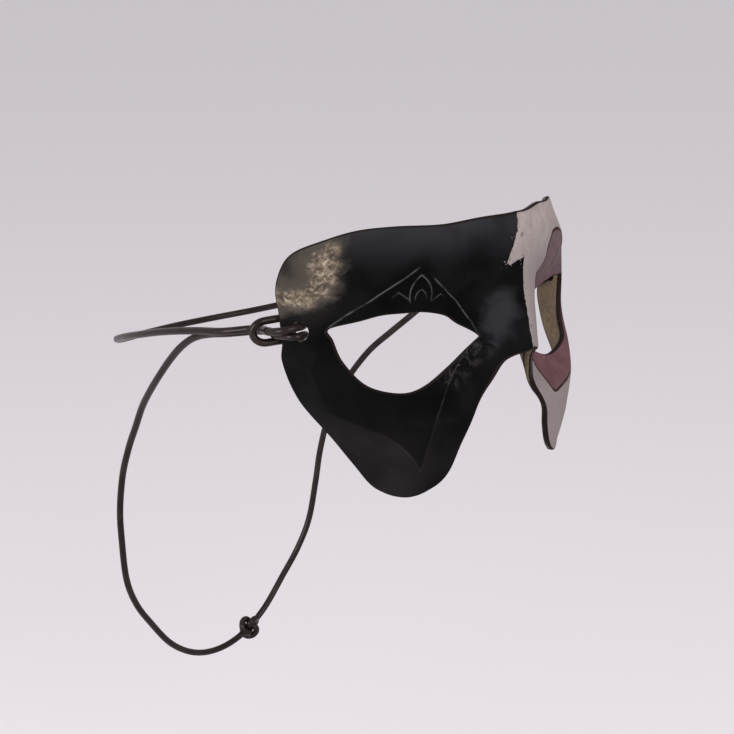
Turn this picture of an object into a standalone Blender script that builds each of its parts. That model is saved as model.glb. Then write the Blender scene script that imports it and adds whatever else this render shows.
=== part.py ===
"""A formed leather half mask with a round leather cord, at its real size.

The mask faces -Y, +Z is up and the wearer's right is -X. The origin lies on the front of the nose
bridge, level with the inner corners of the eyes. The wearer's head is not part of the model.
"""

import math
from collections import namedtuple

import bmesh
import bpy
from mathutils import Vector

# The formed shell. Its face axis is the upright line about which the leather bends round the face.
BROW_RISE = 0.0388
CHEEK_DROP = 0.068
FACE_DEPTH = 0.062
HALF_WIDTH = 0.073
TEMPLE_TURN = math.radians(88)
LEATHER = 0.0028

# The eye holes, measured along the leather.
EYE_WIDTH = 0.0525
EYE_HEIGHT = 0.0297
EYE_OFFSET = 0.0418
EYE_DROP = 0.0128
EYE_REACH = 0.87

# The punched temple holes, measured along the leather from the mask's rear edge.
HOLE_DIAMETER = 0.0074
HOLE_INSET = 0.0112
HOLE_DROP = 0.0034
HOLE_CUT = 0.03
HOLE_SIDES = 24

# The cord and its closing knot.
CORD_DIAMETER = 0.003
CORD_SINK = 0.15
KNOT_LENGTH = 0.012
KNOT_DIAMETER = 0.0086
KNOT_ROUNDING = 0.0018
KNOT_SIDES = 16
KNOT_SHARE = 0.535
KNOT_SLANT = math.radians(15)
GAP = 0.0003

# How finely the shell and the cord are faceted.
EDGE_POINTS = 66
CENTRE_POINTS = 12
RINGS = 6
EYE_SAMPLES = 240
CURVE_STEPS = 16
MERGE = 0.00005
HITCH_POINTS = 46
CORD_STEP = 0.0145
CORD_RESOLUTION = 2

# The form: at each level, how far the leather stands from the face axis at seven turns from the
# middle of the face, as shares of FACE_DEPTH. Levels are shares of BROW_RISE or of CHEEK_DROP.
TURNS = [math.radians(degrees) for degrees in (0, 16, 28, 44, 60, 75, 90)]
Section = namedtuple("Section", "level bridge nose_side inner_eye mid_eye outer_eye corner temple")
SECTIONS = [
    Section(-0.97, 0.903, 0.903, 0.919, 0.960, 1.016, 1.048, 1.081),
    Section(-0.76, 0.935, 0.919, 0.935, 1.008, 1.073, 1.113, 1.129),
    Section(-0.56, 1.000, 0.920, 0.955, 1.016, 1.105, 1.153, 1.153),
    Section(-0.40, 1.055, 0.875, 0.826, 0.903, 1.081, 1.161, 1.161),
    Section(-0.19, 1.072, 0.800, 0.780, 0.855, 0.984, 1.161, 1.177),
    Section(0.081, 1.034, 0.806, 0.790, 0.863, 0.984, 1.153, 1.177),
    Section(0.468, 0.985, 0.915, 0.912, 0.944, 1.016, 1.113, 1.161),
    Section(1.03, 0.908, 0.879, 0.855, 0.847, 0.895, 1.000, 1.113),
]
WIDEST = max(section.temple for section in SECTIONS)

# The cut edge of one half, from the top of the brow round the temple and cheek to the nose.
# Turns are shares of TEMPLE_TURN, levels are shares of BROW_RISE or of CHEEK_DROP.
EdgePoint = namedtuple("EdgePoint", "turn level")
EDGE = [
    EdgePoint(0.000, 1.000),
    EdgePoint(0.185, 0.975),
    EdgePoint(0.375, 0.928),
    EdgePoint(0.588, 0.917),
    EdgePoint(0.747, 0.874),
    EdgePoint(0.875, 0.757),
    EdgePoint(0.958, 0.616),
    EdgePoint(0.995, 0.399),
    EdgePoint(1.000, 0.204),
    EdgePoint(0.983, -0.074),
    EdgePoint(0.957, -0.278),
    EdgePoint(0.903, -0.454),
    EdgePoint(0.799, -0.635),
    EdgePoint(0.726, -0.790),
    EdgePoint(0.649, -0.943),
    EdgePoint(0.536, -1.004),
    EdgePoint(0.434, -0.975),
    EdgePoint(0.340, -0.878),
    EdgePoint(0.259, -0.647),
    EdgePoint(0.143, -0.389),
    EdgePoint(0.085, -0.245),
    EdgePoint(0.000, -0.181),
]

# One eye hole, from its inner corner over the upper rim to its outer corner and back below.
# Across is a share of half of EYE_WIDTH, away from the nose, and up is a share of half of EYE_HEIGHT.
RimPoint = namedtuple("RimPoint", "across up")
EYE_RIM = [
    RimPoint(-1.07, 0.24),
    RimPoint(-0.75, 0.59),
    RimPoint(-0.53, 0.83),
    RimPoint(-0.17, 0.99),
    RimPoint(0.12, 1.01),
    RimPoint(0.39, 1.00),
    RimPoint(0.63, 0.89),
    RimPoint(0.94, 0.73),
    RimPoint(0.90, 0.43),
    RimPoint(0.81, -0.09),
    RimPoint(0.61, -0.57),
    RimPoint(0.36, -0.85),
    RimPoint(0.06, -0.99),
    RimPoint(-0.24, -0.87),
    RimPoint(-0.59, -0.52),
    RimPoint(-0.89, -0.11),
]

# One strand of the hitch, from the free cord to the middle of the bight, in metres: along runs from
# the temple hole towards the mask's edge, out away from the head and up across the strands.
HitchPoint = namedtuple("HitchPoint", "along out up")
OUTER_STRAND = [
    HitchPoint(0.0255, 0.0005, 0.0006),
    HitchPoint(0.0194, 0.0003, 0.0006),
    HitchPoint(0.0153, 0.0022, 0.0007),
    HitchPoint(0.0119, 0.0048, 0.0008),
    HitchPoint(0.0095, 0.0058, 0.0009),
    HitchPoint(0.0066, 0.0059, 0.0011),
    HitchPoint(0.0036, 0.0052, 0.0013),
    HitchPoint(0.0014, 0.0029, 0.0017),
]
INNER_STRAND = [
    HitchPoint(0.0255, -0.0029, -0.0008),
    HitchPoint(0.0194, -0.0033, -0.0008),
    HitchPoint(0.0155, -0.0014, -0.0009),
    HitchPoint(0.0123, 0.0013, -0.0010),
    HitchPoint(0.0095, 0.0023, -0.0010),
    HitchPoint(0.0060, 0.0024, -0.0011),
    HitchPoint(0.0034, 0.0024, -0.0014),
    HitchPoint(0.0013, 0.0015, -0.0017),
]
BIGHT_HALF = [
    HitchPoint(0.0006, -0.0004, 0.0017),
    HitchPoint(0.0006, -0.0024, 0.0017),
    HitchPoint(0.0015, -0.0044, 0.0021),
    HitchPoint(0.0042, -0.0052, 0.0031),
    HitchPoint(0.0076, -0.0051, 0.0040),
    HitchPoint(0.0115, -0.0045, 0.0042),
    HitchPoint(0.0144, -0.0012, 0.0042),
    HitchPoint(0.0167, 0.0029, 0.0040),
    HitchPoint(0.0187, 0.0047, 0.0024),
]
BIGHT_MIDDLE = HitchPoint(0.0195, 0.0051, 0.0)

# The cord's routes on the wearer's right, in metres. Both start at the hitch.
HEAD_ROUTE = [
    (-0.0802, 0.0840, -0.0087),
    (-0.0806, 0.0980, -0.0111),
    (-0.0802, 0.1120, -0.0140),
    (-0.0790, 0.1270, -0.0177),
    (-0.0766, 0.1420, -0.0220),
    (-0.0722, 0.1580, -0.0268),
    (-0.0660, 0.1730, -0.0318),
    (-0.0585, 0.1860, -0.0363),
    (-0.0497, 0.1965, -0.0403),
    (-0.0360, 0.2080, -0.0440),
    (-0.0190, 0.2160, -0.0461),
    (0.0, 0.2190, -0.0468),
]
NAPE_ROUTE = [
    (-0.0770, 0.0840, -0.0100),
    (-0.0773, 0.0960, -0.0127),
    (-0.0770, 0.1060, -0.0162),
    (-0.0760, 0.1160, -0.0222),
    (-0.0745, 0.1260, -0.0302),
    (-0.0725, 0.1365, -0.0396),
    (-0.0698, 0.1470, -0.0490),
    (-0.0666, 0.1575, -0.0590),
    (-0.0640, 0.1665, -0.0705),
    (-0.0625, 0.1745, -0.0825),
    (-0.0612, 0.1820, -0.0975),
    (-0.0600, 0.1870, -0.1159),
    (-0.0585, 0.1888, -0.1320),
    (-0.0555, 0.1908, -0.1520),
    (-0.0495, 0.1927, -0.1665),
    (-0.0410, 0.1942, -0.1790),
    (-0.0285, 0.1952, -0.1945),
    (-0.0145, 0.1958, -0.2040),
    (0.0, 0.1960, -0.2070),
]


def new_material(name, colour, roughness):
    """A plain finish for one piece."""
    material = bpy.data.materials.new(name)
    material.use_nodes = True
    shader = material.node_tree.nodes["Principled BSDF"]
    shader.inputs["Base Color"].default_value = (*colour, 1.0)
    shader.inputs["Roughness"].default_value = roughness
    shader.inputs["Metallic"].default_value = 0.0
    return material


def hermite(knots, values, place):
    """A smooth curve through values at uneven knots, read at one place."""
    last = len(knots) - 2
    index = max(0, min(last, sum(place >= knot for knot in knots) - 1))

    def slope(at):
        before, after = max(0, at - 1), min(len(knots) - 1, at + 1)
        return (values[after] - values[before]) / (knots[after] - knots[before])

    span = knots[index + 1] - knots[index]
    t = (place - knots[index]) / span
    start = (2 * t ** 3 - 3 * t ** 2 + 1) * values[index] + (t ** 3 - 2 * t ** 2 + t) * span * slope(index)
    end = (3 * t ** 2 - 2 * t ** 3) * values[index + 1] + (t ** 3 - t ** 2) * span * slope(index + 1)
    return start + end


def height(level):
    """The height of a level, which is a share of the brow's rise or of the cheek's drop."""
    return level * (BROW_RISE if level > 0 else CHEEK_DROP)


HEIGHTS = [height(section.level) for section in SECTIONS]
MIRRORED_TURNS = [-TURNS[1]] + TURNS


def reach(turn, up):
    """How far the leather stands from the face axis, as a share of FACE_DEPTH."""
    across = []
    for section in SECTIONS:
        shares = [section.nose_side] + list(section[1:])
        across.append(hermite(MIRRORED_TURNS, shares, min(abs(turn), TURNS[-1])))
    return hermite(HEIGHTS, across, max(HEIGHTS[0], min(HEIGHTS[-1], up)))


def on_form(turn, up):
    """A point on the mask's outer face, at a turn round the face axis and a height."""
    share = reach(turn, up)
    return Vector((
        HALF_WIDTH * share / WIDEST * math.sin(turn),
        FACE_DEPTH * (1 - share * math.cos(turn)),
        up,
    ))


def smooth_path(points, closed=False):
    """Many points along a smooth curve through a few, as vectors."""
    points = [Vector(point) for point in points]
    if closed:
        ring = [points[-1]] + points + points[:2]
    else:
        ring = [2 * points[0] - points[1]] + points + [2 * points[-1] - points[-2]]
    path = []
    for before, start, end, after in zip(ring, ring[1:], ring[2:], ring[3:]):
        for step in range(CURVE_STEPS):
            t = step / CURVE_STEPS
            path.append(0.5 * (
                2 * start + t * (end - before) + t ** 2 * (2 * before - 5 * start + 4 * end - after)
                + t ** 3 * (3 * start - before - 3 * end + after)
            ))
    path.append(ring[-2].copy())
    return path


def evenly(path, count):
    """Count points spread evenly along a path, with both ends kept."""
    lengths = [0.0]
    for start, end in zip(path, path[1:]):
        lengths.append(lengths[-1] + (end - start).length)
    spread = []
    index = 0
    for step in range(count):
        wanted = lengths[-1] * step / (count - 1)
        while index < len(path) - 2 and lengths[index + 1] < wanted:
            index += 1
        share = (wanted - lengths[index]) / (lengths[index + 1] - lengths[index])
        spread.append(path[index].lerp(path[index + 1], share))
    return spread


def edge_loop():
    """The half mask's outline as turn and height, closed along the middle of the face."""
    corners = [(TEMPLE_TURN * FACE_DEPTH * point.turn, height(point.level), 0) for point in EDGE]
    cut_edge = evenly(smooth_path(corners), EDGE_POINTS)
    top, nose = cut_edge[0], cut_edge[-1]
    centre = [nose.lerp(top, step / CENTRE_POINTS) for step in range(1, CENTRE_POINTS)]
    return [Vector((point.x / FACE_DEPTH, point.y)) for point in cut_edge + centre]


def eye_turn(across):
    """The turn of a distance measured along the leather at the eyes."""
    return across / (EYE_REACH * FACE_DEPTH)


def eye_loop(centre, directions):
    """The eye hole's rim where lines from its centre towards the outline cross it."""
    half_turn, half_height = eye_turn(EYE_WIDTH / 2), EYE_HEIGHT / 2
    corners = [(point.across, point.up, 0) for point in EYE_RIM]
    rim = evenly(smooth_path(corners, closed=True), EYE_SAMPLES)[:-1]
    angles = [math.atan2(point.y * half_height, point.x * half_turn * FACE_DEPTH) for point in rim]
    loop = []
    for direction in directions:
        wanted = math.atan2(direction.y, direction.x * FACE_DEPTH)
        nearest = min(range(len(rim)), key=lambda index: abs(math.remainder(angles[index] - wanted, math.tau)))
        loop.append(centre + Vector((rim[nearest].x * half_turn, rim[nearest].y * half_height)))
    return loop


def shell_cage():
    """One half of the outer face, lofted from the eye hole's rim out to the cut edge."""
    outline = edge_loop()
    centre = Vector((eye_turn(EYE_OFFSET), -EYE_DROP))
    rim = eye_loop(centre, [point - centre for point in outline])
    count = len(outline)
    vertices = []
    for ring in range(RINGS + 1):
        for inner, outer in zip(rim, outline):
            place = inner.lerp(outer, ring / RINGS)
            vertices.append(on_form(place.x, place.y))
    faces = []
    for ring in range(RINGS):
        for index in range(count):
            following = (index + 1) % count
            low, high = ring * count, (ring + 1) * count
            faces.append((low + index, low + following, high + following, high + index))
    return vertices, faces


def hole_frame():
    """The temple hole's middle on the wearer's left, and its along, out and up directions."""
    turn = TEMPLE_TURN - HOLE_INSET / (FACE_DEPTH * WIDEST)
    place = on_form(turn, -HOLE_DROP)
    edge = on_form(TEMPLE_TURN, -HOLE_DROP)
    along = (edge - place).normalized()
    out = Vector((along.y, -along.x, 0)).normalized()
    along = (along - Vector((0, 0, CORD_SINK))).normalized()
    return place, along, out, out.cross(along)


def add_shell(collection, cutters):
    """The mask's one piece of leather, mirrored, thickened inwards and punched at the temples."""
    vertices, faces = shell_cage()
    mesh = bpy.data.meshes.new("mask_shell")
    mesh.from_pydata(vertices, [], faces)
    cage = bmesh.new()
    cage.from_mesh(mesh)
    bmesh.ops.remove_doubles(cage, verts=cage.verts, dist=MERGE)
    cage.to_mesh(mesh)
    cage.free()
    mesh.update()
    shell = bpy.data.objects.new("mask_shell", mesh)
    collection.objects.link(shell)
    mesh.materials.append(new_material("dyed_leather", (0.02, 0.02, 0.022), 0.42))
    mirror = shell.modifiers.new("other half", "MIRROR")
    mirror.merge_threshold = 0.0001
    mirror.use_clip = True
    wall = shell.modifiers.new("leather", "SOLIDIFY")
    wall.thickness = LEATHER
    wall.offset = -1
    wall.use_even_offset = False
    for side in (-1, 1):
        punch = add_punch(cutters, side)
        cut = shell.modifiers.new("temple hole", "BOOLEAN")
        cut.operation = "DIFFERENCE"
        cut.object = punch
    return shell


def add_punch(cutters, side):
    """The round punch that cuts one temple hole."""
    place, _, out, _ = hole_frame()
    sides = Vector((side, 1, 1))
    bpy.ops.mesh.primitive_cylinder_add(
        vertices=HOLE_SIDES, radius=HOLE_DIAMETER / 2, depth=HOLE_CUT, location=place * sides,
        rotation=(out * sides).to_track_quat("Z", "Y").to_euler(),
    )
    punch = bpy.context.object
    punch.name = "punch_left" if side > 0 else "punch_right"
    punch.hide_render = True
    punch.display_type = "WIRE"
    for owner in list(punch.users_collection):
        owner.objects.unlink(punch)
    cutters.objects.link(punch)
    return punch


def add_tube(name, points, collection, material):
    """A round cord along points, with closed ends."""
    curve = bpy.data.curves.new(name, "CURVE")
    curve.dimensions = "3D"
    curve.bevel_depth = CORD_DIAMETER / 2
    curve.bevel_resolution = CORD_RESOLUTION
    curve.use_fill_caps = True
    spline = curve.splines.new("POLY")
    spline.points.add(len(points) - 1)
    for point, place in zip(spline.points, points):
        point.co = (*place, 1)
    curve.materials.append(material)
    tube = bpy.data.objects.new(name, curve)
    collection.objects.link(tube)
    return tube


def hitch_path():
    """The hitch on the wearer's left, from the head strand round the bight to the nape strand."""
    place, along, out, up = hole_frame()
    lower = [HitchPoint(point.along, point.out, -point.up) for point in BIGHT_HALF]
    points = OUTER_STRAND + BIGHT_HALF + [BIGHT_MIDDLE] + lower[::-1] + INNER_STRAND[::-1]
    return [place + along * point.along + out * point.out + up * point.up for point in points]


def on_side(points, side):
    """The same points on the wearer's left for 1 and right for -1."""
    return [Vector((side * point[0], point[1], point[2])) for point in points]


def add_cord(collection):
    """The cord: a hitch at each temple, the strand round the head, the nape loop and its knot."""
    material = new_material("cord_leather", (0.045, 0.030, 0.028), 0.5)
    hitch = hitch_path()
    for side, name in ((-1, "cord_hitch_right"), (1, "cord_hitch_left")):
        add_tube(name, evenly(smooth_path(on_side(hitch, side)), HITCH_POINTS), collection, material)

    step_past_hitch = (hitch[0] - hitch[1]).normalized() * GAP
    head = both_sides([hitch[0] + step_past_hitch], HEAD_ROUTE)
    add_tube("head_cord", evenly(head, cord_points(head)), collection, material)

    nape = both_sides([hitch[-1] + step_past_hitch], NAPE_ROUTE)
    knot = round(KNOT_SHARE * len(nape))
    ends = []
    for name, part in (("nape_cord_right", nape[:knot]), ("nape_cord_left", nape[:knot:-1])):
        trimmed = short_of(part, nape[knot], KNOT_LENGTH / 2)
        ends.append(trimmed[-1])
        add_tube(name, evenly(trimmed, cord_points(trimmed)), collection, material)
    add_knot(ends, collection, material)


def both_sides(left_start, right_route):
    """A strand's smooth path from the right hitch round the back to the left one."""
    right = on_side(left_start, -1) + on_side(right_route, 1)
    return smooth_path(right + on_side(right[-2::-1], -1))


def short_of(path, place, distance):
    """The part of a path that stays a distance away from a place at its end."""
    kept = [point for point in path if (point - place).length > distance]
    direction = (kept[-1] - place).normalized()
    return kept[:-1] + [place + direction * distance]


def cord_points(path):
    """How many points a stretch of cord takes."""
    length = sum((end - start).length for start, end in zip(path, path[1:]))
    return max(4, round(length / CORD_STEP) + 1)


def add_knot(ends, collection, material):
    """The knot that closes the cord, a rounded barrel between the two ends, which meet it at a slant."""
    middle = (ends[0] + ends[1]) / 2
    direction = (ends[1] - ends[0]).normalized()
    slant = CORD_DIAMETER / 2 * math.sin(KNOT_SLANT)
    length = (ends[1] - ends[0]).length - 2 * (GAP + slant)
    bpy.ops.mesh.primitive_cylinder_add(
        vertices=KNOT_SIDES, radius=KNOT_DIAMETER / 2, depth=length, location=middle,
        rotation=direction.to_track_quat("Z", "Y").to_euler(),
    )
    knot = bpy.context.object
    knot.name = "cord_knot"
    knot.data.materials.append(material)
    bevel = knot.modifiers.new("rounding", "BEVEL")
    bevel.width = KNOT_ROUNDING
    bevel.segments = 2
    for owner in list(knot.users_collection):
        owner.objects.unlink(knot)
    collection.objects.link(knot)


def build():
    """Clears the scene and models the mask and its cord."""
    for item in list(bpy.data.objects):
        bpy.data.objects.remove(item)
    parts = bpy.data.collections.new("leather_half_mask")
    cutters = bpy.data.collections.new("cutters")
    bpy.context.scene.collection.children.link(parts)
    bpy.context.scene.collection.children.link(cutters)
    add_shell(parts, cutters)
    add_cord(parts)


build()
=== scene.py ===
import math

import bpy
import numpy as np
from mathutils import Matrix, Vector, noise
from mathutils.kdtree import KDTree


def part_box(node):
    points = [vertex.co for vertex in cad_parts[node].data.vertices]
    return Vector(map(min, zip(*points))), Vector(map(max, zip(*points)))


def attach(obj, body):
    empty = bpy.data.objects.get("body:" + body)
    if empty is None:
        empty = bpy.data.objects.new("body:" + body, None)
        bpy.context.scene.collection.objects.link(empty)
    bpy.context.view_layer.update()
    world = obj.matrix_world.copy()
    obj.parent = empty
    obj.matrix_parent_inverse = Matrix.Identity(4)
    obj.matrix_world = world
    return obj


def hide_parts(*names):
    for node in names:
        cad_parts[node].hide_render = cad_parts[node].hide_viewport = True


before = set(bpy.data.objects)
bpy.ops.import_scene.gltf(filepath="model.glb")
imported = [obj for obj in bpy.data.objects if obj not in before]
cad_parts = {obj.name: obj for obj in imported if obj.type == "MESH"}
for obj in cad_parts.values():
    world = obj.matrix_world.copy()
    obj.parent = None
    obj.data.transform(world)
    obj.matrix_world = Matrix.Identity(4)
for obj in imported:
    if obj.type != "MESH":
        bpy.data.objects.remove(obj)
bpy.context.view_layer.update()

bpy.ops.object.select_all(action="DESELECT")


# The camera stands to the wearer's right and in front of the mask, a little above it, and looks down
# 16 degrees. Its long lens is set for a square picture.
CAMERA_PLACE = Vector((-0.4735, -0.4192, 0.1632))
CAMERA_YAW = math.radians(-43)
CAMERA_FALL = math.radians(16.3)
CAMERA_LENS = 84.5

bpy.ops.object.camera_add(location=CAMERA_PLACE, rotation=(math.pi / 2 - CAMERA_FALL, 0, CAMERA_YAW))
camera = bpy.context.object
camera.data.lens = CAMERA_LENS
camera.data.sensor_width = 36
camera.data.clip_start = 0.01
bpy.context.scene.camera = camera
bpy.context.scene.view_settings.view_transform = "Standard"


# The leather is bent round an upright axis behind the middle of the face. Each row of its form is a
# level, with how far the leather stands from that axis at seven turns from the middle, as shares of
# the face's depth. The mask's height and width come from the frame.
shell_low, shell_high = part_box("mask_shell")
BROW_RISE = shell_high.z
CHEEK_DROP = -shell_low.z
HALF_WIDTH = shell_high.x
FACE_DEPTH = 0.062
LEATHER = 0.0028
TEMPLE_TURN = math.radians(88)
FORM_TURNS = np.radians([0, 16, 28, 44, 60, 75, 90])
FORM = {
    -0.97: (0.903, 0.903, 0.919, 0.960, 1.016, 1.048, 1.081),
    -0.76: (0.935, 0.919, 0.935, 1.008, 1.073, 1.113, 1.129),
    -0.56: (1.000, 0.920, 0.955, 1.016, 1.105, 1.153, 1.153),
    -0.40: (1.055, 0.875, 0.826, 0.903, 1.081, 1.161, 1.161),
    -0.19: (1.072, 0.800, 0.780, 0.855, 0.984, 1.161, 1.177),
    0.081: (1.034, 0.806, 0.790, 0.863, 0.984, 1.153, 1.177),
    0.468: (0.985, 0.915, 0.912, 0.944, 1.016, 1.113, 1.161),
    1.03: (0.908, 0.879, 0.855, 0.847, 0.895, 1.000, 1.113),
}
WIDEST = max(shares[-1] for shares in FORM.values())


def height(level):
    """The height of a level, which is a share of the brow's rise or of the cheek's drop."""
    return level * (BROW_RISE if level > 0 else CHEEK_DROP)


def hermite(before, after, slope_before, slope_after, span, t):
    """A smooth step from one value to the next, at a share t of the span between them."""
    return (
        (2 * t ** 3 - 3 * t ** 2 + 1) * before
        + (t ** 3 - 2 * t ** 2 + t) * span * slope_before
        + (3 * t ** 2 - 2 * t ** 3) * after
        + (t ** 3 - t ** 2) * span * slope_after
    )


def read_rows(knots, rows, places):
    """A smooth curve through each row's values at the knots, read for each row at its own place."""
    slopes = np.empty_like(rows)
    slopes[:, 1:-1] = (rows[:, 2:] - rows[:, :-2]) / (knots[2:] - knots[:-2])
    slopes[:, 0] = (rows[:, 1] - rows[:, 0]) / (knots[1] - knots[0])
    slopes[:, -1] = (rows[:, -1] - rows[:, -2]) / (knots[-1] - knots[-2])
    index = np.clip(np.searchsorted(knots, places, side="right") - 1, 0, len(knots) - 2)
    span = knots[index + 1] - knots[index]
    row = np.arange(len(rows)) if len(rows) == len(places) else np.zeros(len(places), int)
    return hermite(
        rows[row, index], rows[row, index + 1], slopes[row, index], slopes[row, index + 1],
        span, (places - knots[index]) / span,
    )


def on_form(turns, ups):
    """Points on the mask's outer face, at turns round the face axis and heights."""
    turns, ups = np.atleast_1d(np.asarray(turns, float)), np.atleast_1d(np.asarray(ups, float))
    knots = np.concatenate([[-FORM_TURNS[1]], FORM_TURNS])
    levels = np.array([height(level) for level in FORM])
    at_turn = np.minimum(np.abs(turns), FORM_TURNS[-1])
    by_level = np.column_stack([
        read_rows(knots, np.array([[shares[1], *shares]]), at_turn) for shares in FORM.values()
    ])
    reach = read_rows(levels, by_level, np.clip(ups, levels[0], levels[-1]))
    return np.column_stack([
        HALF_WIDTH * reach / WIDEST * np.sin(turns),
        FACE_DEPTH * (1 - reach * np.cos(turns)),
        ups,
    ])


# The cord is one length of round leather lacing, 3 mm thick, dark brown and waxed. At each temple its
# doubled end is pushed through a punched hole from behind and its two strands run back over the strip
# of leather and under their own bight, which pulls tight behind the mask's edge: a lark's head hitch.
CORD_DIAMETER = 0.003
CORD_SIDES_RESOLUTION = 6
HOLE_DIAMETER = 0.0074
HOLE_INSET = 0.0112
HOLE_DROP = 0.0034
CORD_SINK = 0.15
GAP = 0.0003
HITCH_SPACING = 0.0009
STRAND_SPACING = 0.002

# A hitch's points are distances past the hole towards the mask's edge, out from the leather and up.
OUTER_STRAND = [
    (0.0255, 0.0005, 0.0006), (0.0194, 0.0003, 0.0006), (0.0153, 0.0022, 0.0007),
    (0.0119, 0.0048, 0.0008), (0.0095, 0.0058, 0.0009), (0.0066, 0.0059, 0.0011),
    (0.0036, 0.0052, 0.0013), (0.0014, 0.0029, 0.0017),
]
INNER_STRAND = [
    (0.0255, -0.0029, -0.0008), (0.0194, -0.0033, -0.0008), (0.0155, -0.0014, -0.0009),
    (0.0123, 0.0013, -0.0010), (0.0095, 0.0023, -0.0010), (0.0060, 0.0024, -0.0011),
    (0.0034, 0.0024, -0.0014), (0.0013, 0.0015, -0.0017),
]
BIGHT_HALF = [
    (0.0006, -0.0004, 0.0017), (0.0006, -0.0024, 0.0017), (0.0015, -0.0044, 0.0021),
    (0.0042, -0.0052, 0.0031), (0.0076, -0.0051, 0.0040), (0.0115, -0.0045, 0.0042),
    (0.0144, -0.0012, 0.0042), (0.0167, 0.0029, 0.0040), (0.0187, 0.0047, 0.0024),
]
BIGHT_MIDDLE = (0.0195, 0.0051, 0.0)

# The strands' routes run on the wearer's right, from behind the hitch to the middle of the back.
HEAD_ROUTE = [
    (-0.0802, 0.0840, -0.0087), (-0.0806, 0.0980, -0.0111), (-0.0802, 0.1120, -0.0140),
    (-0.0790, 0.1270, -0.0177), (-0.0766, 0.1420, -0.0220), (-0.0722, 0.1580, -0.0268),
    (-0.0660, 0.1730, -0.0318), (-0.0585, 0.1860, -0.0363), (-0.0497, 0.1965, -0.0403),
    (-0.0360, 0.2080, -0.0440), (-0.0190, 0.2160, -0.0461), (0.0, 0.2190, -0.0468),
]
NAPE_ROUTE = [
    (-0.0770, 0.0840, -0.0100), (-0.0773, 0.0960, -0.0127), (-0.0770, 0.1060, -0.0162),
    (-0.0760, 0.1160, -0.0222), (-0.0745, 0.1260, -0.0302), (-0.0725, 0.1365, -0.0396),
    (-0.0698, 0.1470, -0.0490), (-0.0666, 0.1575, -0.0590), (-0.0640, 0.1665, -0.0705),
    (-0.0625, 0.1745, -0.0825), (-0.0612, 0.1820, -0.0975), (-0.0600, 0.1870, -0.1159),
    (-0.0585, 0.1888, -0.1320), (-0.0555, 0.1908, -0.1520), (-0.0495, 0.1927, -0.1665),
    (-0.0410, 0.1942, -0.1790), (-0.0285, 0.1952, -0.1945), (-0.0145, 0.1958, -0.2040),
    (0.0, 0.1960, -0.2070),
]


PATH_STEPS = 16


def smooth_path(points, steps=PATH_STEPS):
    """Many points along a smooth curve through a few, as vectors."""
    points = [Vector(point) for point in points]
    ring = [2 * points[0] - points[1]] + points + [2 * points[-1] - points[-2]]
    path = []
    for before, start, end, after in zip(ring, ring[1:], ring[2:], ring[3:]):
        for step in range(steps):
            t = step / steps
            path.append(0.5 * (
                2 * start + t * (end - before) + t ** 2 * (2 * before - 5 * start + 4 * end - after)
                + t ** 3 * (3 * start - before - 3 * end + after)
            ))
    return path + [points[-1]]


def evenly(path, spacing):
    """Points spread evenly along a path about a spacing apart, with both ends kept."""
    lengths = np.cumsum([0.0] + [(end - start).length for start, end in zip(path, path[1:])])
    places = np.linspace(0, lengths[-1], max(4, round(lengths[-1] / spacing)))
    return [Vector(point) for point in zip(*(np.interp(places, lengths, axis) for axis in zip(*path)))]


def mirrored(points):
    """The same points on the other side of the face."""
    return [Vector((-point[0], point[1], point[2])) for point in points]


def both_sides(left_start, right_route):
    """A strand's smooth path from the right hitch round the back to the left one."""
    right = mirrored([left_start]) + right_route
    return smooth_path(right + mirrored(right[-2::-1]))


hole_turn = TEMPLE_TURN - HOLE_INSET / (FACE_DEPTH * WIDEST)
hole_place, hole_edge = (Vector(point) for point in on_form([hole_turn, TEMPLE_TURN], [-HOLE_DROP] * 2))
hitch_along = (hole_edge - hole_place).normalized()
hole_out = Vector((hitch_along.y, -hitch_along.x, 0)).normalized()
hitch_along = (hitch_along - Vector((0, 0, CORD_SINK))).normalized()
hitch_up = hole_out.cross(hitch_along)
lower_half = [(along, out, -up) for along, out, up in BIGHT_HALF]
hitch_points = [
    hole_place + hitch_along * along + hole_out * out + hitch_up * up
    for along, out, up in OUTER_STRAND + BIGHT_HALF + [BIGHT_MIDDLE] + lower_half[::-1] + INNER_STRAND[::-1]
]


def shader_node(tree, kind, sockets=None, **settings):
    """A shader node whose sockets are set to values, or joined to the outputs that are given."""
    made = tree.nodes.new("ShaderNode" + kind)
    for name, value in settings.items():
        setattr(made, name, value)
    for name, value in (sockets or {}).items():
        if isinstance(value, bpy.types.NodeSocket):
            tree.links.new(value, made.inputs[name])
        else:
            made.inputs[name].default_value = value
    return made


def noise_of(tree, place, scale, detail=3, distortion=0.0):
    """Noise with this many features a metre, from 0 to 1."""
    sockets = {"Vector": place, "Scale": scale, "Detail": detail, "Distortion": distortion}
    return shader_node(tree, "TexNoise", sockets).outputs["Fac"]


def fade(tree, value, start, end, low=0.0, high=1.0):
    """A soft step from low to high as the value goes from start to end."""
    sockets = {"Value": value, "From Min": start, "From Max": end, "To Min": low, "To Max": high}
    return shader_node(tree, "MapRange", sockets, interpolation_type="SMOOTHSTEP").outputs["Result"]


def maths(tree, operation, first, second=0.0):
    """The result of one sum on two values."""
    return shader_node(tree, "Math", {0: first, 1: second}, operation=operation).outputs["Value"]


def tint(tree, share, first, second):
    """A colour between two, the first at a share of 0 and the second at 1."""
    sockets = {0: share}
    for index, colour in ((6, first), (7, second)):
        sockets[index] = (*colour, 1) if isinstance(colour, tuple) else colour
    return shader_node(tree, "Mix", sockets, data_type="RGBA").outputs[2]


def new_leather(name, **sockets):
    """A new material, its node tree and its shader."""
    material = bpy.data.materials.new(name)
    material.use_nodes = True
    tree = material.node_tree
    shader = tree.nodes["Principled BSDF"]
    for socket, value in sockets.items():
        shader.inputs[socket.replace("_", " ")].default_value = value
    return material, tree, shader


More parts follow.
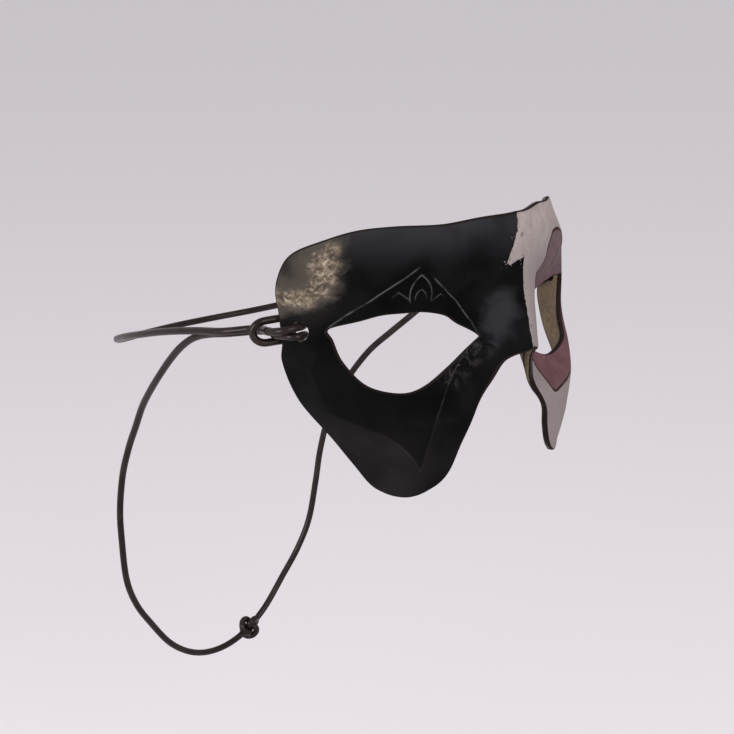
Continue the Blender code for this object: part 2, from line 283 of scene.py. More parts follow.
def finish_leather(tree, shader, colour, roughness, relief):
    """Joins a colour, a roughness and a relief in millimetres to a shader."""
    bump = shader_node(tree, "Bump", {"Strength": 1.0, "Distance": 0.001, "Height": relief})
    for name, output in (("Base Color", colour), ("Roughness", roughness), ("Normal", bump.outputs[0])):
        tree.links.new(output, shader.inputs[name])


CORD_DARK = (0.007, 0.0032, 0.0030)
CORD_BROWN = (0.017, 0.0095, 0.0085)
cord_leather, tree, shader = new_leather(
    "waxed_cord_leather", Specular_IOR_Level=0.12, Coat_Weight=0.12, Coat_Roughness=0.12,
)
place = shader_node(tree, "TexCoord").outputs["Object"]
mottle = noise_of(tree, place, 160)
dye = tint(tree, fade(tree, mottle, 0.3, 0.75), CORD_DARK, CORD_BROWN)
grain = noise_of(tree, place, 1100, 4)
finish_leather(
    tree, shader, dye, fade(tree, mottle, 0.2, 0.8, 0.25, 0.45), maths(tree, "MULTIPLY", grain, 0.07),
)


def add_cord(name, path, closed=False):
    """A round length of the cord along a path, which may be a closed loop."""
    curve = bpy.data.curves.new(name, "CURVE")
    curve.dimensions = "3D"
    curve.bevel_depth = CORD_DIAMETER / 2
    curve.bevel_resolution = CORD_SIDES_RESOLUTION
    curve.use_fill_caps = True
    spline = curve.splines.new("POLY")
    spline.points.add(len(path) - 1)
    for point, place in zip(spline.points, path):
        point.co = (*place, 1)
    spline.use_smooth = True
    spline.use_cyclic_u = closed
    curve.materials.append(cord_leather)
    cord = bpy.data.objects.new(name, curve)
    bpy.context.scene.collection.objects.link(cord)
    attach(cord, "root")
    return cord


for name, points in (("right", mirrored(hitch_points)), ("left", hitch_points)):
    add_cord(f"hitch_{name}", evenly(smooth_path(points), HITCH_SPACING))
    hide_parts(f"cord_hitch_{name}")


# The upper strand is a stretch of the same lacing. It leaves one hitch, runs round behind and goes
# into the other hitch, a little loose, and only the two hitches hold it.
past_hitch = (hitch_points[0] - hitch_points[1]).normalized() * GAP
head_path = both_sides(hitch_points[0] + past_hitch, HEAD_ROUTE)
head_strand = add_cord("head_strand", evenly(head_path, STRAND_SPACING))
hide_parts("head_cord")


# The lower strands are the lacing's two ends, and hang behind in one long loop. They meet in the knot
# that closes the cord, an overhand knot pulled tight, which lies low on the loop.
KNOT_SHARE = 0.535
KNOT_LENGTH = 0.012
KNOT_OVERLAP = 0.65
KNOT_STEPS = 72
KNOT_RING = 0.0034
KNOT_WEAVE = 0.0017
KNOT_RISE = 0.0018
nape_path = both_sides(hitch_points[-1] + past_hitch, NAPE_ROUTE)
knot_index = round(KNOT_SHARE * len(nape_path))
knot_place = nape_path[knot_index]
strand_ends = []
for name, part in (("right", nape_path[:knot_index]), ("left", nape_path[:knot_index:-1])):
    kept = [point for point in part if (point - knot_place).length > KNOT_LENGTH / 2]
    kept[-1] = knot_place + (kept[-1] - knot_place).normalized() * KNOT_LENGTH / 2
    strand_ends.append(kept[-1])
    strand_path = kept + [kept[-1].lerp(knot_place, KNOT_OVERLAP)]
    strand = add_cord(f"nape_strand_{name}", evenly(strand_path, STRAND_SPACING))
    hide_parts(f"nape_cord_{name}")
knot_along = (strand_ends[1] - strand_ends[0]).normalized()
knot_across = knot_along.cross(Vector((0, 1, 0))).normalized()
knot_facing = knot_along.cross(knot_across)
knot_points = []
for step in range(KNOT_STEPS):
    turn = math.tau * step / KNOT_STEPS
    ring = KNOT_RING + KNOT_WEAVE * math.cos(3 * turn)
    knot_points.append(
        knot_place + knot_along * ring * math.cos(2 * turn)
        + knot_across * ring * math.sin(2 * turn) + knot_facing * KNOT_RISE * math.sin(3 * turn)
    )
knot = add_cord("closing_knot", knot_points, closed=True)
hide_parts("cord_knot")


# The mask's shell is one piece of vegetable tanned leather, 2.8 mm thick, cut out flat, wet formed
# over the brow, nose and cheekbones and left to dry hard. Its pattern is drawn flat, as distances
# along the leather from the middle of the face and heights, and then bent onto the form.

# At the eyes the leather stands EYE_REACH of the face's depth from the axis it is bent round.
EYE_WIDTH = 0.0525
EYE_HEIGHT = 0.0297
EYE_OFFSET = 0.0418
EYE_DROP = 0.0128
EYE_REACH = 0.87
CUT_EDGE = [
    (0.000, 1.000), (0.185, 0.975), (0.375, 0.928), (0.588, 0.917), (0.747, 0.874), (0.875, 0.757),
    (0.958, 0.616), (0.995, 0.399), (1.000, 0.204), (0.983, -0.074), (0.957, -0.278), (0.903, -0.454),
    (0.799, -0.635), (0.726, -0.790), (0.649, -0.943), (0.536, -1.004), (0.434, -0.975),
    (0.340, -0.878), (0.259, -0.647), (0.143, -0.389), (0.085, -0.245), (0.000, -0.181),
]
EYE_RIM = [
    (-1.07, 0.24), (-0.75, 0.59), (-0.53, 0.83), (-0.17, 0.99), (0.12, 1.01), (0.39, 1.00),
    (0.63, 0.89), (0.94, 0.73), (0.90, 0.43), (0.81, -0.09), (0.61, -0.57), (0.36, -0.85),
    (0.06, -0.99), (-0.24, -0.87), (-0.59, -0.52), (-0.89, -0.11),
]
OUTLINE_SPACING = 0.0002
CENTRE_SNAP = 0.00006
MERGE_GAP = 0.00002
MIRROR_GAP = 0.0001
COLUMNS = 400
RIM_RINGS = (0.0, 0.00018, 0.00045, 0.0009, 0.0016)
INNER_RINGS = 46
EDGE_ROUNDING = 0.0009


def loop_radii(loop, middle, angles):
    """How far a loop stands from a point inside it, in the given directions."""
    around = loop - middle
    found = np.arctan2(around[:, 1], around[:, 0])
    order = np.argsort(found)
    return np.interp(angles, found[order], np.hypot(*around[order].T), period=math.tau)


cut_path = np.array(evenly(smooth_path([
    (TEMPLE_TURN * FACE_DEPTH * turn, height(level), 0) for turn, level in CUT_EDGE
]), OUTLINE_SPACING))[:, :2]
centre_line = np.linspace(cut_path[-1], cut_path[0], 200)[1:-1]
outline = np.vstack([cut_path, centre_line])
eye_middle = np.array([EYE_OFFSET / EYE_REACH, -EYE_DROP])
rim_points = [(across * EYE_WIDTH / 2 / EYE_REACH, up * EYE_HEIGHT / 2, 0) for across, up in EYE_RIM]
rim_path = smooth_path(rim_points[-2:] + rim_points + rim_points[:2])[2 * PATH_STEPS:-2 * PATH_STEPS]
eye_rim = np.array(rim_path)[:, :2] + eye_middle

# One half is a grid wrapped round its eye: a column for each direction, rings from the rim outwards.
directions = -np.arange(COLUMNS) * math.tau / COLUMNS
for corner in (cut_path[0], cut_path[-1]):
    angle = math.atan2(*(corner - eye_middle)[::-1])
    nearest = np.argmin(np.abs(np.angle(np.exp(1j * (directions - angle)))))
    directions[nearest] = angle
unit = np.column_stack([np.cos(directions), np.sin(directions)])
inner_line = eye_middle + unit * loop_radii(eye_rim, eye_middle, directions)[:, None]
outer_line = eye_middle + unit * loop_radii(outline, eye_middle, directions)[:, None]
outer_line[np.abs(outer_line[:, 0]) < CENTRE_SNAP, 0] = 0
spans = np.linalg.norm(outer_line - inner_line, axis=1)
rim_shares = np.array(RIM_RINGS)[None, :] / spans[:, None]
between = np.linspace(0, 1, INNER_RINGS + 2)[1:-1]
inner_shares = rim_shares[:, -1:] + between * (1 - 2 * rim_shares[:, -1:])
shares = np.hstack([rim_shares, inner_shares, 1 - rim_shares[:, ::-1]])
rings = shares.shape[1]

bpy.ops.mesh.primitive_grid_add(x_subdivisions=COLUMNS, y_subdivisions=rings - 1, size=1)
leather = bpy.context.object
leather.name = leather.data.name = "formed_leather"
corners = np.array([vertex.co for vertex in leather.data.vertices])
column = np.rint((corners[:, 0] + 0.5) * COLUMNS).astype(int) % COLUMNS
ring = np.rint((corners[:, 1] + 0.5) * (rings - 1)).astype(int)
pattern = inner_line[column] + (outer_line - inner_line)[column] * shares[column, ring][:, None]
bent = on_form(pattern[:, 0] / FACE_DEPTH, pattern[:, 1])
leather.data.vertices.foreach_set("co", bent.ravel())
gap_values = leather.data.attributes.new("rim_gap", "FLOAT", "POINT")
gap = np.minimum(shares[column, ring], 1 - shares[column, ring]) * spans[column]
on_centre = outer_line[column, 0] == 0
gap = np.where(on_centre, shares[column, ring] * spans[column], gap)
gap_values.data.foreach_set("value", gap)
bpy.ops.object.mode_set(mode="EDIT")
bpy.ops.mesh.select_all(action="SELECT")
bpy.ops.mesh.remove_doubles(threshold=MERGE_GAP)
bpy.ops.object.mode_set(mode="OBJECT")
mirror = leather.modifiers.new("other half", "MIRROR")
mirror.merge_threshold = MIRROR_GAP
bpy.ops.object.modifier_apply(modifier=mirror.name)

# The thickness goes inwards from the outer face, and the cut edges are then rounded over.
front, tree, shader = new_leather("dyed_front", Specular_IOR_Level=0.02)
flesh_side, flesh_tree, flesh_shader = new_leather("flesh_side", Specular_IOR_Level=0.08)
burnished, edge_tree, edge_shader = new_leather("burnished_edge", Specular_IOR_Level=0.04)
for material in (front, flesh_side, burnished):
    leather.data.materials.append(material)
solid = leather.modifiers.new("thickness", "SOLIDIFY")
solid.thickness = LEATHER
solid.offset = -1
solid.material_offset = 1
solid.material_offset_rim = 2
outer_count = len(leather.data.vertices)
outer_face = np.empty(outer_count * 3)
leather.data.vertices.foreach_get("co", outer_face)
outer_face = outer_face.reshape(-1, 3)
facing = np.array([vertex.normal for vertex in leather.data.vertices])
rim_gap = np.empty(outer_count)
leather.data.attributes["rim_gap"].data.foreach_get("value", rim_gap)
cut_tree, rim_tree = KDTree(len(cut_path)), KDTree(len(cut_path) + len(eye_rim))
for index, point in enumerate(cut_path):
    cut_tree.insert((*point, 0), index)
for index, point in enumerate(np.vstack([cut_path, eye_rim])):
    rim_tree.insert((*point, 0), index)
cut_tree.balance()
rim_tree.balance()


def flat_places(points):
    """Places on the flat pattern of points on the formed leather, the wearer's right below zero."""
    turns = np.arctan2(points[:, 0] * WIDEST / HALF_WIDTH, (FACE_DEPTH - points[:, 1]) / FACE_DEPTH)
    return np.column_stack([turns * FACE_DEPTH, points[:, 2]])


outer_flat = flat_places(outer_face)
cut_gap = np.array([cut_tree.find((abs(across), up, 0))[2] for across, up in outer_flat])
edge_gap = np.minimum(rim_gap, cut_gap)
rolled = 1 - np.clip(edge_gap / EDGE_ROUNDING, 0, 1)
pull = EDGE_ROUNDING * (1 - np.sqrt(1 - rolled ** 2))
bpy.ops.object.modifier_apply(modifier=solid.name)

# Lines are drawn on the pattern as pairs of a turn in degrees and a height in millimetres.
DRAWN_SCALE = (math.radians(1) * FACE_DEPTH, 0.001)
RIGHT_LOZENGE = np.array([
    (-71.5, -2.6), (-70.2, -0.4), (-66.5, 3.1), (-63.2, 5.6), (-59.1, 8.3), (-56.3, 10.5),
    (-51.5, 13.9), (-46.2, 17.5), (-41.8, 20.8), (-39.9, 20.3), (-35.7, 15.8), (-29.3, 9.2),
    (-24.5, 5.2), (-19.6, -0.3), (-16.4, -3.7), (-13.9, -9.0), (-22.7, -18.6), (-27.1, -24.5),
    (-30.8, -30.1), (-34.8, -36), (-37.3, -43.5), (-39.1, -50.9), (-41, -58), (-42.9, -53.6),
    (-45.1, -50.3), (-48.3, -46.2), (-52.8, -42.2), (-57.1, -39.8), (-63.6, -36.9), (-70.5, -33.8),
    (-76, -18),
]) * DRAWN_SCALE
LEFT_LOZENGE = np.array(smooth_path([
    (45.9, 23.0, 0), (41.5, 23.7, 0), (35, 24.3, 0), (29.6, 23.9, 0), (24.4, 20.6, 0),
    (22.8, 16.6, 0), (21.6, 11.0, 0), (18.6, 3.5, 0), (14.0, -5.0, 0), (17.0, -14, 0), (25.5, -20, 0),
    (27.6, -27, 0), (28.2, -37.8, 0), (36.2, -38.6, 0), (48.3, -38.5, 0), (57, -36, 0), (68, -26, 0),
    (78, -6, 0), (76, 6, 0), (66, 15, 0), (56, 20.6, 0), (45.9, 23.0, 0),
], 5))[:-1, :2] * DRAWN_SCALE
PARTING = np.array([
    (-0.8, 46), (-1.0, 38.4), (-1.5, 36.9), (-1.3, 34.8), (-2.5, 31.2), (-3.2, 29.4), (-3.8, 27.6),
    (-5.0, 25.6), (-6.5, 22.8), (-8.0, 19.7), (-6.5, 19.3), (-4.2, 20.7), (-0.3, 21.9), (-1.3, 18.9),
    (-2.2, 13.4), (-2.5, 8.9), (-2.1, 4.8), (-1.7, 0.2), (-1.4, -5.4), (-0.8, -11.2), (-0.6, -20),
    (-0.6, -80),
]) * DRAWN_SCALE
LEFT_OF_PARTING = np.vstack([PARTING, np.array([(110, -80), (110, 46)]) * DRAWN_SCALE])
# The band over the temple where the black is rubbed to bronze and carries a painted warm reflection.
RUB_AND_REFLECTION_BAND = np.array([
    (-86.9, 7.4), (-82, 8.1), (-77.6, 9.8), (-75.1, 12.4), (-73.3, 16.4), (-71.6, 18.7), (-70.7, 21.9),
    (-71.6, 27.1), (-71.5, 25.1), (-73.5, 23.8), (-75.2, 21.5),
]) * DRAWN_SCALE
NOSE_CRESCENT = np.array([
    (-13.9, -6.6), (-12.7, 3.5), (-10.7, 9.0), (-8.7, 11.1), (-5.9, 9.9), (-4.5, 0), (-6.8, -7.3),
    (-9.7, -11.6),
]) * DRAWN_SCALE
EYE_CREASES = np.array([(-15.0, -12.0), (-19.5, -16.3), (-22.4, -18.8), (-27.4, -23.3)]) * DRAWN_SCALE
PAINT_FLAW = np.array([(-0.1, 29.8), (0.3, 30.1)]) * DRAWN_SCALE


def line_gap(points, line):
    """How far each flat point stands from a line through the given places."""
    nearest = np.full(len(points), np.inf)
    for start, end in zip(line, line[1:]):
        along = end - start
        share = np.clip((points - start) @ along / (along @ along), 0, 1)
        nearest = np.minimum(nearest, np.hypot(*(points - start - share[:, None] * along).T))
    return nearest


def is_inside(points, loop):
    """True for each flat point that lies inside a closed line."""
    odd = np.zeros(len(points), bool)
    for start, end in zip(loop, np.roll(loop, -1, axis=0)):
        if start[1] == end[1]:
            continue
        crosses = (start[1] > points[:, 1]) != (end[1] > points[:, 1])
        meets = start[0] + (points[:, 1] - start[1]) * (end[0] - start[0]) / (end[1] - start[1])
        odd ^= crosses & (points[:, 0] < meets)
    return odd


def depth_in(points, loop):
    """How far each flat point lies inside a closed line, below zero outside it."""
    return line_gap(points, np.vstack([loop, loop[:1]])) * np.where(is_inside(points, loop), 1, -1)


def soft_step(values, start, end):
    """0 up to the start, 1 from the end on, and a smooth rise between them."""
    share = np.clip((values - start) / (end - start), 0, 1)
    return share * share * (3 - 2 * share)


def uneven(points, size, seed):
    """Smooth unevenness from about -1 to 1, with bumps of this size in metres."""
    return np.array([noise.noise(Vector((across / size, up / size, seed))) for across, up in points]) * 1.6


def tooling(points):
    """How strongly the lozenge's line is tooled at each flat point, from 0 to 1.

    It is full above the eye, fades below it, and stops at the arches and at the outer corner.
    """
    turns = points[:, 0] / DRAWN_SCALE[0]
    ups = points[:, 1] / DRAWN_SCALE[1]
    lower_right = 0.38 - 0.34 * soft_step(-ups, 24, 48)
    lower_left = 0.17 * (1 - soft_step(-turns, 44, 52))
    strength = np.where(ups > -9, 1.0, np.where(turns > -40.6, lower_right, lower_left))
    strength *= 1 - (ups > 10) * soft_step(turns, -42.0, -41.2) * (1 - soft_step(turns, -36.6, -35.4))
    strength *= 1 - (ups < -2.8) * soft_step(-turns, 60, 66)
    return np.where(points[:, 0] < 0, strength, 0)


# The front is tooled and worked by hand, so it stands a fraction of a millimetre off the plain form.
TOOLED_WIDTH = 0.0011
TOOLED_DEPTH = 0.00026
LOZENGE_DEPTH = 0.00022
CRESCENT_RISE = 0.0003
PATCH_CRUMPLE = 0.00026
CREASE_WIDTH = 0.005
CREASE_CRUMPLE = 0.00014
BROAD_WAVE = 0.00022
SMALL_WAVE = 0.00010
right_depth = depth_in(outer_flat, RIGHT_LOZENGE)
right_line = np.exp(-(right_depth / TOOLED_WIDTH) ** 2) * tooling(outer_flat)
in_right = soft_step(right_depth, -0.0012, 0.0016) * (outer_flat[:, 0] < 0)
patch = soft_step(-line_gap(outer_flat, RUB_AND_REFLECTION_BAND), -0.009, -0.002)
crescent = soft_step(depth_in(outer_flat, NOSE_CRESCENT), -0.0016, 0.0014)
by_eye = np.exp(-(line_gap(outer_flat, EYE_CREASES) / CREASE_WIDTH) ** 2)
relief = (
    CRESCENT_RISE * crescent - TOOLED_DEPTH * right_line - LOZENGE_DEPTH * in_right
    + PATCH_CRUMPLE * patch * uneven(outer_flat, 0.0042, 3.1)
    + CREASE_CRUMPLE * by_eye * uneven(outer_flat, 0.0028, 7.7)
    + BROAD_WAVE * uneven(outer_flat, 0.019, 11.3) + SMALL_WAVE * uneven(outer_flat, 0.008, 5.9)
)
relief *= soft_step(edge_gap, 0.0002, 0.004)
places = np.vstack([
    outer_face + facing * (relief - pull)[:, None],
    outer_face - facing * (LEATHER - pull)[:, None],
])
leather.data.vertices.foreach_set("co", places.ravel())
leather.data.update()

# Both temple holes are punched square through the leather, which shows its pale core in their walls.
PUNCH_LENGTH = 0.03
SHARP_ANGLE = math.radians(50)
punched, core_tree, core_shader = new_leather("punched_core", Specular_IOR_Level=0.25)
for side in (-1, 1):
    bpy.ops.mesh.primitive_cylinder_add(
        vertices=72, radius=HOLE_DIAMETER / 2, depth=PUNCH_LENGTH,
        location=(side * hole_place.x, hole_place.y, hole_place.z),
        rotation=Vector((side * hole_out.x, hole_out.y, 0)).to_track_quat("Z", "Y").to_euler(),
    )
    cutter = bpy.context.object
    cutter.data.materials.append(punched)
    bpy.context.view_layer.objects.active = leather
    punch = leather.modifiers.new("punch", "BOOLEAN")
    punch.operation = "DIFFERENCE"
    punch.solver = "EXACT"
    punch.material_mode = "TRANSFER"
    punch.object = cutter
    bpy.ops.object.modifier_apply(modifier=punch.name)
    bpy.data.objects.remove(cutter, do_unlink=True)
bpy.ops.object.select_all(action="DESELECT")
leather.select_set(True)
bpy.ops.object.shade_smooth_by_angle(angle=SHARP_ANGLE)

# The finish is painted by what each point of the leather knows of its place on the pattern.
MILLIMETRES = 1000
corners = np.array([vertex.co for vertex in leather.data.vertices])
on_pattern = flat_places(corners)
parting_side = np.where(is_inside(on_pattern, LEFT_OF_PARTING), 1, -1)
lozenge = np.where(
    on_pattern[:, 0] < 0, depth_in(on_pattern, RIGHT_LOZENGE), depth_in(on_pattern, LEFT_LOZENGE),
)
from_rim = np.array([rim_tree.find((abs(across), up, 0))[2] for across, up in on_pattern])
for name, values in (
    ("painted", line_gap(on_pattern, PARTING) * parting_side * MILLIMETRES),
    ("lozenge", lozenge * MILLIMETRES),
    ("tooled", tooling(on_pattern)),
    ("from_rub_and_reflection", line_gap(on_pattern, RUB_AND_REFLECTION_BAND) * MILLIMETRES),
    ("crescent", depth_in(on_pattern, NOSE_CRESCENT) * MILLIMETRES),
    ("creased", line_gap(on_pattern, EYE_CREASES) * MILLIMETRES),
    ("flaw", line_gap(on_pattern, PAINT_FLAW) * MILLIMETRES),
    ("rim", from_rim * MILLIMETRES),
):
    kept_values = leather.data.attributes.new(name, "FLOAT", "POINT")
    kept_values.data.foreach_set("value", values)
pattern_place = leather.data.attributes.new("pattern", "FLOAT_VECTOR", "POINT")
pattern_place.data.foreach_set("vector", np.column_stack([on_pattern, corners[:, 1] * 0.3]).ravel())

# The leather dried a little out of true: the left brow higher than the right, its outer corner lower.
LEFT_BROW_RISE = 0.0018
LEFT_CORNER_DROP = 0.0028
along_leather, up_leather = on_pattern.T
above_eye = soft_step(up_leather, 0.012, 0.034)
on_left_brow = soft_step(along_leather, 0.001, 0.022) * (1 - soft_step(along_leather, 0.046, 0.062))
at_left_corner = soft_step(along_leather, 0.042, 0.074)
corners[:, 2] += (LEFT_BROW_RISE * on_left_brow - LEFT_CORNER_DROP * at_left_corner) * above_eye

# The flanks have spread outwards and back, least where the hitches hold the strips by the holes.
FLANK_SPREAD = 0.0023
FLANK_OUTWARD = 0.4
FLANK_BACK = 0.9
AT_HITCH = 0.27
spread = AT_HITCH + (1 - AT_HITCH) * soft_step(-up_leather, 0.0085, 0.0160)
spread += 0.45 * soft_step(up_leather, 0.001, 0.010)
spread *= FLANK_SPREAD * soft_step(np.abs(along_leather), 0.079, 0.0945)
spread *= 1 - soft_step(-up_leather, 0.030, 0.048)
corners[:, 0] += spread * FLANK_OUTWARD * np.sign(along_leather)
corners[:, 1] += spread * FLANK_BACK
leather.data.vertices.foreach_set("co", corners.ravel())
leather.data.update()


def known(tree, name):
    """What each point knows under this name: millimetres, or how strongly it is tooled."""
    return shader_node(tree, "Attribute", attribute_name=name).outputs["Fac"]


place = shader_node(tree, "Attribute", attribute_name="pattern").outputs["Vector"]
painted = known(tree, "painted")
depth = known(tree, "lozenge")
from_rub_and_reflection = known(tree, "from_rub_and_reflection")
rim = known(tree, "rim")
broad = noise_of(tree, place, 55, 4)
middling = noise_of(tree, place, 230, 5, 0.6)
fine = noise_of(tree, place, 1500, 4)
coarse_grain = noise_of(tree, place, 520, 3, 0.3)

# Nested pointed arches are tooled above the right eye, between two half chevrons. Their sizes are in
# millimetres, across from the arches' middle and up from the level of the origin.
ARCH_MIDDLE = -44.35
apart = shader_node(tree, "SeparateXYZ", {"Vector": place})
along = apart.outputs["X"]
up = apart.outputs["Y"]
across = maths(tree, "SUBTRACT", maths(tree, "MULTIPLY", along, MILLIMETRES), ARCH_MIDDLE)
above = maths(tree, "MULTIPLY", up, MILLIMETRES)


def arch_gap(tree, foot, half_width, rise):
    """How far each point stands outside a pointed arch with its foot at this height, in millimetres."""
    radius = (half_width ** 2 + rise ** 2) / (2 * half_width)
    reach = maths(tree, "ADD", maths(tree, "ABSOLUTE", across), radius - half_width)
    up_from_foot = maths(tree, "SUBTRACT", above, foot)
    squared = maths(tree, "MULTIPLY", up_from_foot, up_from_foot)
    squared = maths(tree, "ADD", squared, maths(tree, "POWER", reach, 2))
    return maths(tree, "SUBTRACT", maths(tree, "SQRT", squared), radius)


def chevron_gap(tree, middle, peak, slope):
    """How far each point stands above a chevron with its peak at this height, in millimetres."""
    fall = maths(tree, "MULTIPLY", maths(tree, "ABSOLUTE", maths(tree, "SUBTRACT", across, middle)), slope)
    rise = maths(tree, "SUBTRACT", maths(tree, "ADD", above, fall), peak)
    return maths(tree, "DIVIDE", rise, math.hypot(1, slope))


def thin_line(tree, gap, width):
    """1 along a line and 0 past its width."""
    return maths(tree, "SUBTRACT", 1, fade(tree, maths(tree, "ABSOLUTE", gap), 0, width))


great_arch = arch_gap(tree, 9.0, 4.75, 8.9)
arches = maths(tree, "MULTIPLY", thin_line(tree, great_arch, 0.5), fade(tree, above, 6.2, 7.0))
small_arch = thin_line(tree, arch_gap(tree, 7.8, 2.5, 4.2), 0.45)
small_arch = maths(tree, "MULTIPLY", small_arch, fade(tree, above, 7.0, 8.6, 0, 0.75))
arches = maths(tree, "MAXIMUM", arches, small_arch)
for middle, peak, slope, outward in ((-9.1, 11.3, 0.82, -1), (9.0, 9.3, 0.7, 1)):
    side_line = thin_line(tree, chevron_gap(tree, middle, peak, slope), 0.5)
    beyond = maths(tree, "MULTIPLY", maths(tree, "SUBTRACT", across, middle), outward)
    side_line = maths(tree, "MULTIPLY", side_line, fade(tree, beyond, 0.1, 0.9, 0.8, 0.25))
    side_line = maths(tree, "MULTIPLY", side_line, fade(tree, beyond, 3.6, 1.6))
    side_line = maths(tree, "MULTIPLY", side_line, fade(tree, great_arch, -0.1, 0.2))
    arches = maths(tree, "MAXIMUM", arches, side_line)
arches = maths(tree, "MULTIPLY", arches, fade(tree, above, 5.9, 6.9))
arches = maths(tree, "MULTIPLY", arches, fade(tree, depth, 0.6, 1.4))

lozenge_line = maths(tree, "MULTIPLY", thin_line(tree, depth, 0.55), known(tree, "tooled"))
tooled_lines = maths(tree, "MAXIMUM", arches, lozenge_line)

# The wearer's right half is dyed black and waxed. Its brow and lower cheek carry a painted sheen, the
# crescent by the nose and its tooled lines carry painted highlights, and the recessed lozenge is painted
# darker as shade. The creases by the eye are paler, and over the temple it is rubbed to bronze and carries a
# painted warm reflection.
DEEP_BLACK = (0.0016, 0.0016, 0.0017)
DYED_BLACK = (0.0046, 0.0046, 0.0050)
BROW_PAINTED_SHEEN = (0.021, 0.020, 0.0225)
CHEEK_PAINTED_SHEEN = (0.0130, 0.0112, 0.0117)
CRESCENT_HIGHLIGHT_GREY = (0.024, 0.023, 0.026)
TOOLED_HIGHLIGHT_GREY = (0.085, 0.083, 0.085)
CREASE_BROWN = (0.034, 0.030, 0.030)
FLECK_BROWN = (0.10, 0.075, 0.072)
WARM_SHEEN_BROWN = (0.048, 0.040, 0.034)
BRONZE_PIT_SHADE = (0.040, 0.031, 0.025)
BRONZE_LOW = (0.055, 0.043, 0.033)
BRONZE = (0.150, 0.118, 0.088)
BRONZE_HIGHLIGHT = (0.31, 0.25, 0.195)
black = tint(tree, fade(tree, broad, 0.35, 0.7), DEEP_BLACK, DYED_BLACK)
# Painted sheen: the brow is lighter where light falls on it from above.
brow_sheen = maths(tree, "MULTIPLY", fade(tree, up, 0.019, 0.038), fade(tree, broad, 0.25, 0.6, 0.35, 1))
black = tint(tree, brow_sheen, black, BROW_PAINTED_SHEEN)
# Painted sheen: the lower cheek is lighter where light falls on it.
cheek_sheen = maths(tree, "MULTIPLY", fade(tree, up, -0.026, -0.052), fade(tree, broad, 0.3, 0.6, 0.5, 1))
cheek_sheen = maths(tree, "MULTIPLY", cheek_sheen, fade(tree, along, -0.038, -0.056, 0.3, 1))
black = tint(tree, cheek_sheen, black, CHEEK_PAINTED_SHEEN)
# Painted shade: the recessed lozenge round the eye is darker than the black outside it.
black = tint(tree, fade(tree, depth, -0.4, 1.0, 0, 0.6), black, DEEP_BLACK)
# Painted highlight: the crescent on the nose's flank is lighter.
crescent_highlight = maths(tree, "ADD", known(tree, "crescent"), maths(tree, "MULTIPLY", middling, 6))
crescent_highlight = fade(tree, crescent_highlight, 0.5, 6.5)
black = tint(tree, maths(tree, "MULTIPLY", crescent_highlight, 0.7), black, CRESCENT_HIGHLIGHT_GREY)
# Painted highlight: a pale line along the tooled cuts and arches, where their grooves catch the light.
highlight = maths(tree, "MULTIPLY", tooled_lines, fade(tree, middling, 0.32, 0.62, 0.3, 1))
black = tint(tree, maths(tree, "MULTIPLY", highlight, 0.7), black, TOOLED_HIGHLIGHT_GREY)
creased = known(tree, "creased")
wrinkled = maths(tree, "MULTIPLY", fade(tree, creased, 8, 1), fade(tree, middling, 0.45, 0.65))
black = tint(tree, maths(tree, "MULTIPLY", wrinkled, 0.7), black, CREASE_BROWN)
flecked = maths(tree, "MULTIPLY", fade(tree, creased, 5, 0.5), fade(tree, coarse_grain, 0.63, 0.71))
black = tint(tree, maths(tree, "MULTIPLY", flecked, 0.45), black, FLECK_BROWN)

# The patch over the temple is partly rubbed to bronze and partly a painted warm reflection on the crumpled
# leather. It follows the band with a wandering edge, inside a softer painted brown sheen, and its crests
# carry painted highlights and its pits painted shade.
wander = maths(tree, "MULTIPLY", maths(tree, "SUBTRACT", middling, 0.5), 7)
from_rub_and_reflection = maths(tree, "ADD", from_rub_and_reflection, wander)
temple = maths(tree, "ADD", along, maths(tree, "MULTIPLY", wander, 0.0014))
# Painted sheen: a soft warm brown round the patch.
warm_sheen = maths(tree, "MULTIPLY", fade(tree, from_rub_and_reflection, 16, 3), fade(tree, temple, -0.070, -0.0785))
low_side = maths(tree, "SUBTRACT", up, maths(tree, "MULTIPLY", temple, 0.5))
warm_sheen = maths(tree, "MULTIPLY", warm_sheen, fade(tree, low_side, 0.0450, 0.0490, 0.15, 1))
black = tint(tree, warm_sheen, black, WARM_SHEEN_BROWN)
rub_and_reflection = maths(tree, "MULTIPLY", fade(tree, from_rub_and_reflection, 4.8, 0.6), fade(tree, up, 0.0035, 0.0070, 0.1, 1))
rub_and_reflection = maths(tree, "MULTIPLY", rub_and_reflection, fade(tree, temple, -0.0715, -0.0775))
crumple = noise_of(tree, place, 460, 5, 0.8)
bronze = tint(tree, fade(tree, crumple, 0.36, 0.56), BRONZE_LOW, BRONZE)
# Painted highlights on the crests of the crumpled patch, and painted shade in its pits.
bronze = tint(tree, fade(tree, crumple, 0.55, 0.70), bronze, BRONZE_HIGHLIGHT)
bronze = tint(tree, fade(tree, coarse_grain, 0.48, 0.36, 0, 0.75), bronze, BRONZE_PIT_SHADE)
black = tint(tree, rub_and_reflection, black, bronze)

